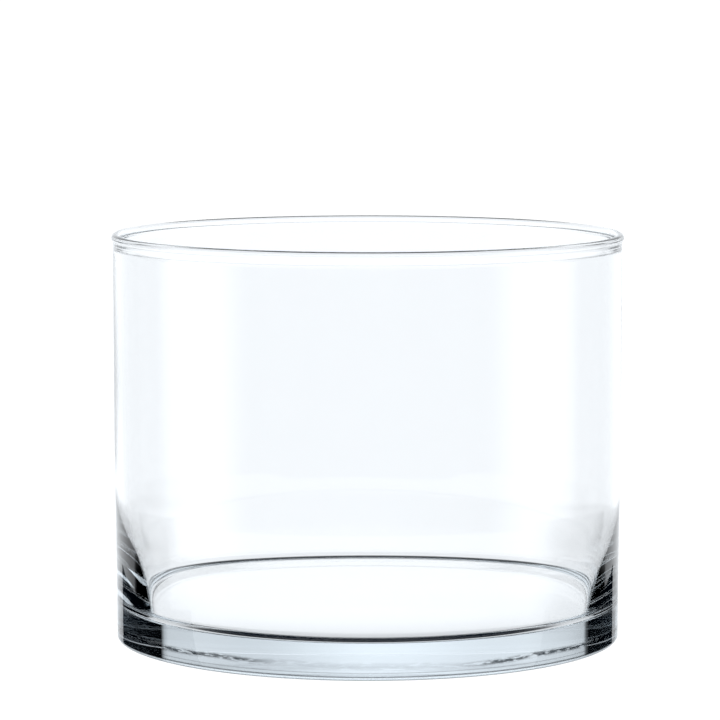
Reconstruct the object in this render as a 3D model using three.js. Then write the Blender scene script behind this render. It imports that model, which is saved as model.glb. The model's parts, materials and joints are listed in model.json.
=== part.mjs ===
// Crystallizing dish: a straight-sided, heavy-based cylinder of clear glass, open at the top.
// Millimetres, +Z up, the underside on z = 0, the axis of the dish on Z.
// The dish is one fused piece of glass. It is modelled as three solids that meet on two
// horizontal planes: the thick base with its rounded inner corner, the plain wall, and the
// fire-polished bead of the rim.
import * as THREE from 'three';

// Driving sizes
const outerDiameter = 190; // outside of the wall
const overallHeight = 152; // underside to the top of the bead
const wallThickness = 2.6; // just under the bead
const bodyThickening = 0.8; // what the wall gains over its first 45 mm below the bead
const bodyDrop = 45;
const footThickening = 3.5; // what it gains again from 57 mm above the underside to the floor
const footTop = 57;
const floorThickness = 12.3; // solid glass under the inside floor
const innerCornerRadius = 3.7; // concave round between the floor and the wall
const heelRadius = 1.2; // convex round between the underside and the wall
const beadDiameter = 3.2; // round section of the rim, flush inside and proud outside
const turnSegments = 96;
const cornerSteps = 6;
const heelSteps = 4;
const boreSteps = 12; // up the inside of the wall
const beadSteps = 10; // over the top of the bead, half a turn
const beadFootSteps = 3; // under its outer swell

// Derived sizes
const outerRadius = outerDiameter / 2;
const boreRadius = outerRadius - wallThickness;
const beadRadius = beadDiameter / 2;
const beadCentre = { r: boreRadius + beadRadius, z: overallHeight - beadRadius };
const beadFootAngle = Math.asin((outerRadius - beadCentre.r) / beadRadius);
const baseTop = floorThickness + innerCornerRadius;
const wallTop = beadCentre.z - beadRadius * Math.cos(beadFootAngle);

// Radius of the inside of the wall at a height; the wall thickens towards the base.
function boreAt(z) {
  const body = Math.min((wallTop - z) / bodyDrop, 1);
  const foot = Math.max((footTop - z) / (footTop - floorThickness), 0);
  return boreRadius - bodyThickening * body - footThickening * foot * foot;
}

// Points of a circular arc in the (r, z) half plane; angles are measured from +r towards +z.
function arc(r, z, radius, fromAngle, toAngle, steps) {
  const points = [];
  for (let i = 0; i <= steps; i += 1) {
    const angle = fromAngle + ((toAngle - fromAngle) * i) / steps;
    points.push([r + radius * Math.cos(angle), z + radius * Math.sin(angle)]);
  }
  return points;
}

// A solid turned about Z from an outline in the (r, z) half plane.
function turned(name, outline) {
  const profile = outline.map(([r, z]) => new THREE.Vector2(r, z));
  const geometry = new THREE.LatheGeometry(profile, turnSegments);
  geometry.rotateX(Math.PI / 2);
  const material = new THREE.MeshStandardMaterial({
    color: 0xe6eef4,
    metalness: 0,
    roughness: 0.02,
    transparent: true,
    opacity: 0.35,
  });
  const mesh = new THREE.Mesh(geometry, material);
  mesh.name = name;
  return mesh;
}

// Thick base: flat underside, rounded heel, a short length of wall and the rounded corner
// that runs down on to the flat inside floor.
const cornerCentre = { r: boreAt(baseTop) - innerCornerRadius, z: baseTop };
const base = turned('base', [
  [0, 0],
  ...arc(outerRadius - heelRadius, heelRadius, heelRadius, -Math.PI / 2, 0, heelSteps),
  [outerRadius, baseTop],
  ...arc(cornerCentre.r, cornerCentre.z, innerCornerRadius, 0, -Math.PI / 2, cornerSteps),
  [0, floorThickness],
]);

// Wall: a tube from the top of the corner round to the foot of the bead, straight outside
// and thickening downwards inside.
const bore = [];
for (let i = 0; i <= boreSteps; i += 1) {
  const z = wallTop - ((wallTop - baseTop) * i) / boreSteps;
  bore.push([boreAt(z), z]);
}
const wall = turned('wall', [
  [boreAt(baseTop), baseTop],
  [outerRadius, baseTop],
  [outerRadius, wallTop],
  ...bore,
]);

// Rim bead: a round-topped ring, its outside swelling past the wall.
const swellStart = beadFootAngle - Math.PI / 2;
const rimBead = turned('rim_bead', [
  [boreRadius, wallTop],
  ...arc(beadCentre.r, beadCentre.z, beadRadius, swellStart, 0, beadFootSteps),
  ...arc(beadCentre.r, beadCentre.z, beadRadius, 0, Math.PI, beadSteps).slice(1),
  [boreRadius, wallTop],
]);

const group = new THREE.Group();
group.name = 'crystallizing_dish';
group.add(base, wall, rimBead);

export default group;
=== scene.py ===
"""Crystallizing dish: one piece of clear glass on a glossy white table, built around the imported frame."""

import json
import math

import bpy
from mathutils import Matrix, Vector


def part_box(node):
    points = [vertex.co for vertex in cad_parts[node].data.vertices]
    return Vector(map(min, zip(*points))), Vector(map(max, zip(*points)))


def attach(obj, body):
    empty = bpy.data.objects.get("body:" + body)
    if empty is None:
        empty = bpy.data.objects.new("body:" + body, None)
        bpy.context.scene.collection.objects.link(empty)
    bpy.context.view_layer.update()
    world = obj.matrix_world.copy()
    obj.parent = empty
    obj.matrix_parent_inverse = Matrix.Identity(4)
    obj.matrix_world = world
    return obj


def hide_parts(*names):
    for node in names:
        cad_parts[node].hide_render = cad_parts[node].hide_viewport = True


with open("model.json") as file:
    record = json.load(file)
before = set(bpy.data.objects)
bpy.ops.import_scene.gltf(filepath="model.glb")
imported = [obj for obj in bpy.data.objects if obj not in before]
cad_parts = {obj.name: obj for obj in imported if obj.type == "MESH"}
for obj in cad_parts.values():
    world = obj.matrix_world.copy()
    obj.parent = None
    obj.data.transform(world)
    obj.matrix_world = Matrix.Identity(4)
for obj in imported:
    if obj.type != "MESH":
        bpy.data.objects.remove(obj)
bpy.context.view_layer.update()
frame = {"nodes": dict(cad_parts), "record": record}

# ---------------------------------------------------------------- sizes, metres, from the frame
mounts = {m["name"]: m for m in frame["record"]["mounts"]}


def inner_radius(node):
    return min(math.hypot(v.co.x, v.co.y) for v in frame["nodes"][node].data.vertices)


OUTER_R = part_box("wall")[1].x
BORE_R = inner_radius("rim_bead")
BEAD_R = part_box("rim_bead")[1].x
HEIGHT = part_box("rim_bead")[1].z
BASE_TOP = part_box("base")[1].z
FLOOR_Z = mounts["inside_floor"]["pos_m"][2]

# ---------------------------------------------------------------- fine shape of the glass
MM = 0.001
HEEL = 1.2 * MM  # round between the underside and the wall
DRAFT = 0.75 * MM  # how much the outside draws in at the foot
DRAFT_TOP = 0.62 * HEIGHT  # above this the outside is straight
CORNER_ROUND = BASE_TOP - FLOOR_Z  # the CAD base ends where the inner corner does
CORNER_UNEVEN = -0.7 * MM  # the inner corner is rounder in front than at the back
BORE_SHIFT = 0.5 * MM  # from FOOT_TOP down the bore sits off centre, so the wall is thicker at -X
THICKER = 0.8 * MM  # what the wall gains from the bead down to FOOT_TOP, all round
FOOT_TOP = 57 * MM
FOOT_THICK = 3.5 * MM  # what it gains again from FOOT_TOP down to the floor
FOOT_POWER = 2.0
SIDE_LEFT = (57 * MM, 1.6 * MM, 2.0)  # top, thickness and power of the extra glass at -X
SIDE_RIGHT = (50 * MM, 1.0 * MM, 2.0)  # and at +X
SIDE_FROM = 0.85  # it starts where the cosine of the angle from X is this, and is full SIDE_SPAN further
SIDE_SPAN = 0.14
FOOT_LINE = 10 * MM  # rows of faces are closer together below this height
TURN = 360  # faces round the dish

BEAD_SECTION = (BEAD_R - BORE_R) / 2
BEAD_C = (BORE_R + BEAD_SECTION, HEIGHT - BEAD_SECTION)
BEAD_FOOT = math.degrees(math.asin((OUTER_R - BEAD_C[0]) / BEAD_SECTION)) - 90
BEAD_FOOT_Z = BEAD_C[1] + BEAD_SECTION * math.sin(math.radians(BEAD_FOOT))


# ---------------------------------------------------------------- glass outline
def smooth(t):
    t = min(max(t, 0.0), 1.0)
    return t * t * (3 - 2 * t)


def outer_radius(z):
    """The wall draws in slightly towards the base."""
    return OUTER_R - DRAFT * (1 - smooth(z / DRAFT_TOP))


def taper(angle, z):
    """Extra thickness low in the wall: a little all round, most on the two sides."""
    extra = THICKER + FOOT_THICK * max((FOOT_TOP - z) / (FOOT_TOP - FLOOR_Z), 0.0) ** FOOT_POWER
    sides = ((-math.cos(angle), SIDE_LEFT), (math.cos(angle), SIDE_RIGHT))
    for share, (top, thick, power) in sides:
        up = max((top - z) / (top - FLOOR_Z), 0.0) ** power
        extra += smooth((share - SIDE_FROM) / SIDE_SPAN) * thick * up
    return extra


def outer_point(kind, t, angle):
    """Place (r, z) at share t along one stretch of the outside, from the underside to over the bead."""
    heel_r = outer_radius(HEEL) - HEEL
    if kind == "under":
        return heel_r * t, 0.0
    if kind == "heel":
        a = math.radians(-90 + 90 * t)
        return heel_r + HEEL * math.cos(a), HEEL + HEEL * math.sin(a)
    if kind == "foot":
        z = HEEL + (FOOT_LINE - HEEL) * t
        return outer_radius(z), z
    if kind == "wall":
        z = FOOT_LINE + (BEAD_FOOT_Z - FOOT_LINE) * t
        return outer_radius(z), z
    a = math.radians(BEAD_FOOT + (180 - BEAD_FOOT) * t)
    return BEAD_C[0] + BEAD_SECTION * math.cos(a), BEAD_C[1] + BEAD_SECTION * math.sin(a)


def inner_point(kind, t, angle):
    """The same for the inside, from under the bead down to the middle of the floor."""
    shift = BORE_SHIFT * math.cos(angle)
    corner = CORNER_ROUND + CORNER_UNEVEN * math.sin(angle)
    if kind == "bore":
        z = BEAD_C[1] + (FLOOR_Z + corner - BEAD_C[1]) * t
        fade = min((BEAD_C[1] - z) / (BEAD_C[1] - FOOT_TOP), 1.0)
        return BORE_R + (shift - taper(angle, z)) * fade, z
    if kind == "corner":
        a = math.radians(90 * t)
        z = FLOOR_Z + corner * (1 - math.sin(a))
        r = BORE_R + shift - taper(angle, z) - corner * (1 - math.cos(a))
    else:
        z = FLOOR_Z
        r = (BORE_R + shift - taper(angle, FLOOR_Z) - corner) * (1 - t)
    return r, z


# the outline in order: stretch, rows of faces in it, its function
STRETCHES = (
    ("under", 12, outer_point),
    ("heel", 12, outer_point),
    ("foot", 24, outer_point),
    ("wall", 36, outer_point),
    ("bead", 28, outer_point),
    ("bore", 60, inner_point),
    ("corner", 40, inner_point),
    ("floor", 26, inner_point),
)


def revolve(name):
    """One closed skin: a fan under the middle, rings of four-sided faces, and a fan on the floor."""
    rows = [(kind, i / count, place) for kind, count, place in STRETCHES for i in range(1, count + 1)]
    rows.pop()  # the last one is the middle of the floor, a single point
    verts = [(0.0, 0.0, 0.0)]
    for kind, t, place in rows:
        for k in range(TURN):
            angle = 2 * math.pi * k / TURN
            r, z = place(kind, t, angle)
            verts.append((r * math.cos(angle), r * math.sin(angle), z))
    verts.append((0.0, 0.0, FLOOR_Z))
    last, end = len(rows) - 1, len(verts) - 1

    def at(i, k):
        return 1 + i * TURN + k % TURN

    faces = [(0, at(0, k + 1), at(0, k)) for k in range(TURN)]
    faces += [
        (at(i, k), at(i, k + 1), at(i + 1, k + 1), at(i + 1, k)) for i in range(last) for k in range(TURN)
    ]
    faces += [(end, at(last, k), at(last, k + 1)) for k in range(TURN)]
    mesh = bpy.data.meshes.new(name)
    mesh.from_pydata(verts, [], faces)
    mesh.validate()
    mesh.update()
    mesh.polygons.foreach_set("use_smooth", [True] * len(mesh.polygons))
    return add_object(name, mesh)


def add_object(name, data):
    thing = bpy.data.objects.new(name, data)
    bpy.context.scene.collection.objects.link(thing)
    return thing


# ---------------------------------------------------------------- node helpers
class Nodes:
    """Short forms for building one node tree."""

    def __init__(self, tree):
        tree.nodes.clear()
        self.new, self.link = tree.nodes.new, tree.links.new

    def calc(self, op, a, b=None):
        node = self.new("ShaderNodeMath")
        node.operation = op
        for i, value in enumerate((a, b)):
            if isinstance(value, (int, float)):
                node.inputs[i].default_value = value
            elif value is not None:
                self.link(value, node.inputs[i])
        return node.outputs[0]

    def times(self, a, b):
        return self.calc("MULTIPLY", a, b)

    def fade(self, value, low, high):
        """0 below low, 1 above high, smooth between."""
        node = self.new("ShaderNodeMapRange")
        node.interpolation_type = "SMOOTHSTEP"
        self.link(value, node.inputs["Value"])
        node.inputs["From Min"].default_value = low
        node.inputs["From Max"].default_value = high
        return node.outputs[0]

    def invert(self, a):
        return self.calc("SUBTRACT", 1.0, a)

    def away_from(self, value, centre):
        return self.calc("ABSOLUTE", self.calc("SUBTRACT", value, centre))

    def window(self, value, from_low, from_full, to_full, to_low):
        """1 between from_full and to_full, 0 outside from_low and to_low."""
        up = self.fade(value, from_low, from_full)
        return self.times(up, self.invert(self.fade(value, to_full, to_low)))

    def radius(self, x, y):
        return self.calc("SQRT", self.calc("ADD", self.times(x, x), self.times(y, y)))

    def split(self, vector):
        node = self.new("ShaderNodeSeparateXYZ")
        self.link(vector, node.inputs[0])
        return node.outputs

    def mix(self, factor, a, b):
        return self.calc("ADD", self.times(self.invert(factor), a), self.times(factor, b))

    def noise(self, vector, scale, detail):
        node = self.new("ShaderNodeTexNoise")
        node.inputs["Scale"].default_value = scale
        node.inputs["Detail"].default_value = detail
        self.link(vector, node.inputs["Vector"])
        return node.outputs[0]

    def glow(self, kind, color, strength):
        """An Emission or Background shader; strength is a number or a socket."""
        node = self.new(kind)
        node.inputs["Color"].default_value = (*color, 1)
        if isinstance(strength, (int, float)):
            node.inputs["Strength"].default_value = strength
        else:
            self.link(strength, node.inputs["Strength"])
        return node.outputs[0]

    def blend(self, factor, a, b):
        node = self.new("ShaderNodeMixShader")
        for socket, source in zip(node.inputs, (factor, a, b)):
            self.link(source, socket)
        return node.outputs[0]


# ---------------------------------------------------------------- materials
GLASS_IOR = 1.5
DEPTH_COLOR = (0.05, 0.39, 0.61, 1)  # faint blue-green where the glass is deep
DEPTH_DENSITY = 1.2
WAVE_HEIGHT = 0.04 * MM  # slow waves all over, from blowing
WAVE_SCALE = 14.0
SKIN = 1.2 * MM  # the painted shade lies only this near the outside
# painted shade: the near-black colour of the dark streaks and lines painted round the foot
FOOT_SHADE_TINT = (0.02, 0.023, 0.026, 1)
FOOT_SHADE_Z = 5.6 * MM  # middle of the band of painted shade streaks round the foot
FOOT_SHADE_HALF = 1.5 * MM
FOOT_SHADE_DRIFT = 3.5 * MM  # how far the band wanders up and down
FOOT_SHADE_LEAST = 0.25  # strength of the painted shade in front, against 1 at the sides
FOOT_SHADE_SIDES = (28 * MM, 46 * MM)  # where it grows, by distance from the middle to left or right
DRIFT_SCALE = 30.0
STREAK_FLAT = 5.0  # streaks are this much longer than high
STREAK_SCALE = 260.0
STREAK_DETAIL = 5.0
STREAK_EDGE = (0.34, 0.53)  # noise values where a streak begins and where it is full
# height, half width and strength of each line of painted shade round the heel
HEEL_SHADE_LINES = (
    (1.5 * MM, 0.45 * MM, 0.9),
    (0.4 * MM, 0.3 * MM, 0.8),
    (2.9 * MM, 0.3 * MM, 0.5),
)


def foot_painted_shade(n, place):
    """How strongly shade is painted on the glass: a ring of long small dark streaks round the foot, and
    dark lines round the heel.
    """
    x, y, z = n.split(place)
    flat = n.new("ShaderNodeVectorMath")
    flat.operation = "MULTIPLY"
    flat.inputs[1].default_value = (1, 1, STREAK_FLAT)
    n.link(place, flat.inputs[0])
    drift = n.times(n.calc("SUBTRACT", n.noise(place, DRIFT_SCALE, 1.0), 0.5), FOOT_SHADE_DRIFT)
    off = n.away_from(n.calc("ADD", z, drift), FOOT_SHADE_Z)
    band = n.invert(n.fade(off, 0.2 * FOOT_SHADE_HALF, FOOT_SHADE_HALF))
    grown = n.times(n.fade(n.calc("ABSOLUTE", x), *FOOT_SHADE_SIDES), 1 - FOOT_SHADE_LEAST)
    # painted shade: long dark streaks in a band that wanders round the foot, stronger to left and right
    streak_mask = n.fade(n.noise(flat.outputs[0], STREAK_SCALE, STREAK_DETAIL), *STREAK_EDGE)
    foot_shade = n.times(n.times(streak_mask, band), n.calc("ADD", FOOT_SHADE_LEAST, grown))
    # painted shade: dark lines at fixed heights round the heel
    for at, half, strength in HEEL_SHADE_LINES:
        line = n.invert(n.fade(n.away_from(z, at), 0.3 * half, half))
        foot_shade = n.calc("MAXIMUM", foot_shade, n.times(line, strength))
    return n.times(foot_shade, n.calc("GREATER_THAN", n.radius(x, y), OUTER_R - SKIN))


def glass_material():
    """Clear glass with slow waves from blowing, a faint colour in its depth and painted grey shade in
    streaks and lines at the foot.
    """
    mat = bpy.data.materials.new("clear_glass")
    mat.use_nodes = True
    n = Nodes(mat.node_tree)
    bsdf = n.new("ShaderNodeBsdfPrincipled")
    bsdf.inputs["Roughness"].default_value = 0.0
    bsdf.inputs["IOR"].default_value = GLASS_IOR
    bsdf.inputs["Transmission Weight"].default_value = 1.0
    place = n.new("ShaderNodeTexCoord").outputs["Object"]
    bump = n.new("ShaderNodeBump")
    bump.inputs["Distance"].default_value = WAVE_HEIGHT
    n.link(n.noise(place, WAVE_SCALE, 1.0), bump.inputs["Height"])
    n.link(bump.outputs[0], bsdf.inputs["Normal"])
    # painted shade: the base colour goes near-black where shade is painted round the foot
    tint = n.new("ShaderNodeMix")
    tint.data_type = "RGBA"
    n.link(foot_painted_shade(n, place), tint.inputs["Factor"])
    tint.inputs["A"].default_value = (1, 1, 1, 1)
    tint.inputs["B"].default_value = FOOT_SHADE_TINT
    n.link(tint.outputs["Result"], bsdf.inputs["Base Color"])
    absorb = n.new("ShaderNodeVolumeAbsorption")
    absorb.inputs["Color"].default_value = DEPTH_COLOR
    absorb.inputs["Density"].default_value = DEPTH_DENSITY
    out = n.new("ShaderNodeOutputMaterial")
    n.link(bsdf.outputs[0], out.inputs["Surface"])
    n.link(absorb.outputs[0], out.inputs["Volume"])
    return mat


STUDIO_TINT = (0.93, 0.965, 1.0)
PAPER_WHITE = 1.1  # table and backdrop as the camera sees them
POOL_GLOW = 1.14  # painted pool of light on the table under the dish, seen only through the glass
POOL_SIDE_FALL = 0.2  # how much less it is near its edge, except at the back
POOL_SIDE = (0.045, 0.085)
POOL_BACK = (-0.02, 0.05)
POOL_FRONT_FALL = 0.33  # and how much less in front
POOL_FRONT = (0.02, 0.08)
# painted shade: near-black glow for the table beside the dish and close round it, seen only through the
# glass
PAINTED_SHADE_COLOR = (0.003, 0.006, 0.012)
# painted shade lies on the table left and right of the dish, beyond a slanting line
SIDE_SHADE_FROM = (0.0922, -0.0231)
SIDE_SHADE_TOWARDS = (0.882, 0.471)
SIDE_SHADE_END_X = 0.18
SIDE_SHADE_FRONT_Y = -0.075
SIDE_SHADE_GRAZING = 0.78  # it shows only at low angles
STEEP = (0.28, 0.45)  # painted contact shadow: seen steeply, the table close round the dish is painted dark
CONTACT_SHADE_RADIUS = 0.12
DIRECT_DEPTH = 2.5  # except to rays that met fewer surfaces than this


def table_material():
    """White to the eye. What the glass sees of it: a painted pool of light under the dish, a glossy top
    around it, and painted shade beside the dish and close round it.
    """
    mat = bpy.data.materials.new("white_table")
    mat.use_nodes = True
    n = Nodes(mat.node_tree)
    facing = n.new("ShaderNodeLayerWeight")
    facing.inputs["Blend"].default_value = 0.5
    facing = facing.outputs["Facing"]
    path = n.new("ShaderNodeLightPath").outputs
    x, y, _ = n.split(n.new("ShaderNodeNewGeometry").outputs["Position"])
    wide = n.calc("ABSOLUTE", x)
    radius = n.radius(x, y)

    gloss = n.new("ShaderNodeBsdfGlossy")
    gloss.inputs["Roughness"].default_value = 0.0
    gloss.inputs["Color"].default_value = (0.97, 0.97, 0.97, 1)
    # painted pool of light: the table under the dish glows for rays through the glass, dimmer to the sides
    # and front
    edge = n.times(n.fade(radius, *POOL_SIDE), n.invert(n.fade(y, *POOL_BACK)))
    front = n.fade(n.times(y, -1.0), *POOL_FRONT)
    fall = n.calc("ADD", n.times(edge, POOL_SIDE_FALL), n.times(front, POOL_FRONT_FALL))
    light_pool = n.glow("ShaderNodeEmission", STUDIO_TINT, n.calc("SUBTRACT", POOL_GLOW, fall))
    top = n.blend(n.calc("LESS_THAN", radius, OUTER_R), gloss.outputs[0], light_pool)

    dark = n.glow("ShaderNodeEmission", PAINTED_SHADE_COLOR, 1.0)
    # painted shade on the table left and right of the dish, seen only at low angles
    outwards = n.times(n.calc("SUBTRACT", wide, SIDE_SHADE_FROM[0]), SIDE_SHADE_TOWARDS[0])
    forwards = n.times(n.calc("SUBTRACT", SIDE_SHADE_FROM[1], y), SIDE_SHADE_TOWARDS[1])
    side_shade = n.calc("GREATER_THAN", n.calc("ADD", outwards, forwards), 0.0)
    side_shade = n.times(side_shade, n.calc("LESS_THAN", wide, SIDE_SHADE_END_X))
    side_shade = n.times(side_shade, n.calc("GREATER_THAN", facing, SIDE_SHADE_GRAZING))
    side_shade = n.times(side_shade, n.calc("GREATER_THAN", y, SIDE_SHADE_FRONT_Y))
    top = n.blend(side_shade, top, dark)

    # painted contact shadow: steep rays see the table close round the dish dark, unless they met few
    # surfaces
    direct = n.calc("LESS_THAN", path["Ray Depth"], DIRECT_DEPTH)
    shown = n.calc("MAXIMUM", n.fade(facing, *STEEP), direct)
    shown = n.calc("MAXIMUM", shown, n.calc("GREATER_THAN", radius, CONTACT_SHADE_RADIUS))
    top = n.blend(shown, dark, top)
    top = n.blend(path["Is Camera Ray"], top, n.glow("ShaderNodeEmission", (1, 1, 1), PAPER_WHITE))
    n.link(top, n.new("ShaderNodeOutputMaterial").inputs["Surface"])
    return mat


# ---------------------------------------------------------------- dish
dish = revolve("dish_glass")
dish.data.materials.append(glass_material())
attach(dish, "root")
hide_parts("base", "wall", "rim_bead")

# ---------------------------------------------------------------- table
TABLE_HALF = 12.0
TABLE_Z = -0.0004  # just clear of the underside
mesh = bpy.data.meshes.new("table")
corners = [(x * TABLE_HALF, y * TABLE_HALF, TABLE_Z) for x, y in ((-1, -1), (1, -1), (1, 1), (-1, 1))]
mesh.from_pydata(corners, [], [(0, 1, 2, 3)])
table = add_object("table", mesh)
table.data.materials.append(table_material())

# ---------------------------------------------------------------- studio
# All angles in degrees. The studio has the same lights above and below the horizon.
# Brightness of the backdrop by direction: degrees clockwise from +Y seen from above, and strength.
# It is pale and fades to both sides; the two stretches at 0 are dark flags.
BACKDROP = (
    (-180, 1.15), (-84, 1.15), (-80, 1.0), (-77, 0.0),
    (-48, 0.0), (-47, 0.70), (-40, 0.84), (-32, 0.92), (-26, 0.98), (-20, 1.02), (-15, 1.05), (-10, 1.12),
    (-5, 1.18), (0, 1.19), (3, 1.15), (5, 1.10), (8, 1.04), (11, 0.97), (15, 0.90), (20, 0.87), (28, 0.84),
    (40.5, 0.80), (41.5, 0.0),
    (85, 0.0), (93, 0.6), (102, 1.15), (180, 1.15),
)
BACKDROP_MOST = 1.2  # top of the curve
BACKDROP_TOP = (15.0, 18.0)  # above this rise the light is even, with strength 1
LOW_RISE = (9.25, 9.85)  # below this rise the backdrop has no flags
LOW_FRONT = 1.2
LOW_SIDE = 0.55  # it is only dimmed between these angles to the side
LOW_SIDES = (20.0, 60.0, 68.0, 82.0)
REAR_SIDES = (95.0, 125.0)  # on the camera's side it is dark up to REAR_RISE
REAR_RISE = (11.0, 11.9)
REAR_LEVEL = 0.02
CEILING = (35.0, 41.0, 51.0, 58.0)  # a dark band round the ceiling


def curve_of(n, value, points, most):
    """A curve through (angle, strength) points from -180 to 180 degrees."""
    curve = n.new("ShaderNodeFloatCurve")
    n.link(n.calc("ADD", n.calc("DIVIDE", value, 360.0), 0.5), curve.inputs["Value"])
    line = curve.mapping.curves[0].points
    for i, (angle, strength) in enumerate(points):
        place = (angle / 360 + 0.5, strength / most)
        if i < 2:
            line[i].location = place
        else:
            line.new(*place)
    for point in line:
        point.handle_type = "VECTOR"
    curve.mapping.update()
    return n.times(curve.outputs[0], most)


def studio_world():
    """White to the camera. The glass sees the backdrop, the flags, the dark rear and the ceiling band."""
    world = bpy.data.worlds.new("studio")
    bpy.context.scene.world = world
    world.use_nodes = True
    n = Nodes(world.node_tree)
    x, y, z = n.split(n.new("ShaderNodeTexCoord").outputs["Generated"])
    azimuth = n.times(n.calc("ARCTAN2", x, y), 180 / math.pi)
    aside = n.calc("ABSOLUTE", azimuth)
    rise = n.calc("ABSOLUTE", n.times(n.calc("ARCSINE", z), 180 / math.pi))

    level = n.mix(n.fade(rise, *BACKDROP_TOP), curve_of(n, azimuth, BACKDROP, BACKDROP_MOST), 1.0)
    low = n.mix(n.window(aside, *LOW_SIDES), LOW_FRONT, LOW_SIDE)
    level = n.mix(n.fade(rise, *LOW_RISE), low, level)
    rear = n.times(n.fade(aside, *REAR_SIDES), n.invert(n.fade(rise, *REAR_RISE)))
    level = n.mix(rear, level, REAR_LEVEL)
    level = n.times(level, n.invert(n.window(rise, *CEILING)))

    studio = n.glow("ShaderNodeBackground", STUDIO_TINT, level)
    white = n.glow("ShaderNodeBackground", (1, 1, 1), PAPER_WHITE)
    seen = n.new("ShaderNodeLightPath").outputs["Is Camera Ray"]
    n.link(n.blend(seen, studio, white), n.new("ShaderNodeOutputWorld").inputs[0])


studio_world()

# ---------------------------------------------------------------- camera
# fitted to the ellipses of the rim and the foot in the photo
CAMERA_PLACE = (-0.00285, -1.4031, 0.25477)
CAMERA_DIP = 6.132  # degrees below the horizon
CAMERA_LENS = 188.24
cam_data = bpy.data.cameras.new("camera")
cam_data.sensor_width = 36
cam_data.lens = CAMERA_LENS
cam_data.clip_end = 50
cam = add_object("camera", cam_data)
cam.location = CAMERA_PLACE
cam.rotation_euler = (math.radians(90 - CAMERA_DIP), 0, 0)

scene = bpy.context.scene
scene.camera = cam
scene.view_settings.view_transform = "Standard"
scene.cycles.max_bounces = 32
scene.cycles.transmission_bounces = 32
scene.cycles.glossy_bounces = 16
scene.cycles.caustics_refractive = True
scene.cycles.caustics_reflective = True
